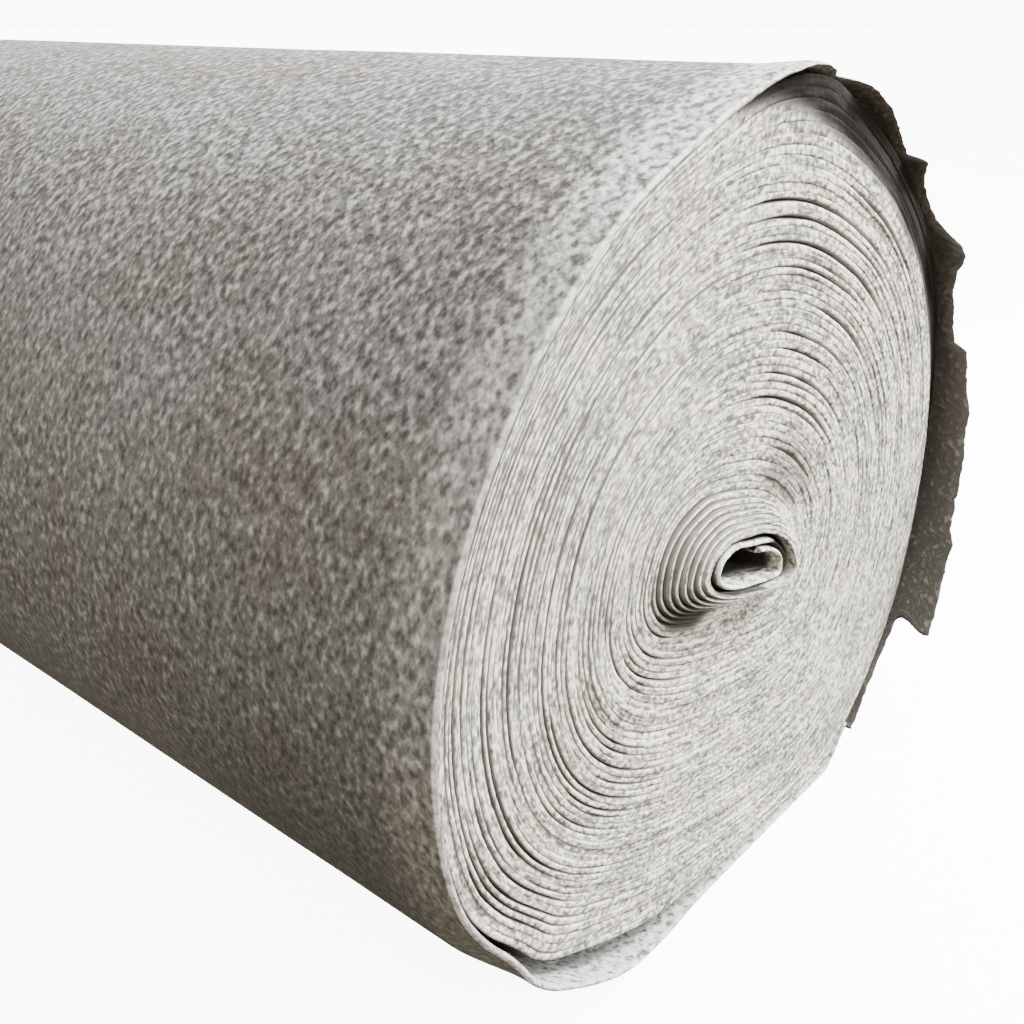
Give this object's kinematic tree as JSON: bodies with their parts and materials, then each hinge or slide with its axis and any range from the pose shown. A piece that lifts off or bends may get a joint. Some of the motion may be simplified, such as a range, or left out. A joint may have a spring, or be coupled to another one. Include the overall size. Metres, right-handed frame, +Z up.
{
  "type": "geotextile roll",
  "caption": "Roll of grey needle-felt geotextile lying on its side, wound without a tube, with a loose outer end, a torn selvedge and an open curled middle.",
  "frame": {"origin": "middle of the underside of the roll's box, on the floor it lies on", "axes": "+X along the roll, towards the face with the stepped nose and the torn selvedge; +Z up; the loose end lies over the +Y side"},
  "size_m": [2.03, 0.5018, 0.4606],
  "materials": {
    "felt_face": "matt needled felt, the light speckled cut edges of the turns",
    "felt_side": "matt needled felt of mixed grey fibres",
    "felt_inner": "matt needled felt"
  },
  "bodies": {
    "root": {"wound_roll": "felt_face", "loose_end": "felt_side", "inner_end": "felt_inner"}
  },
  "joints": []
}
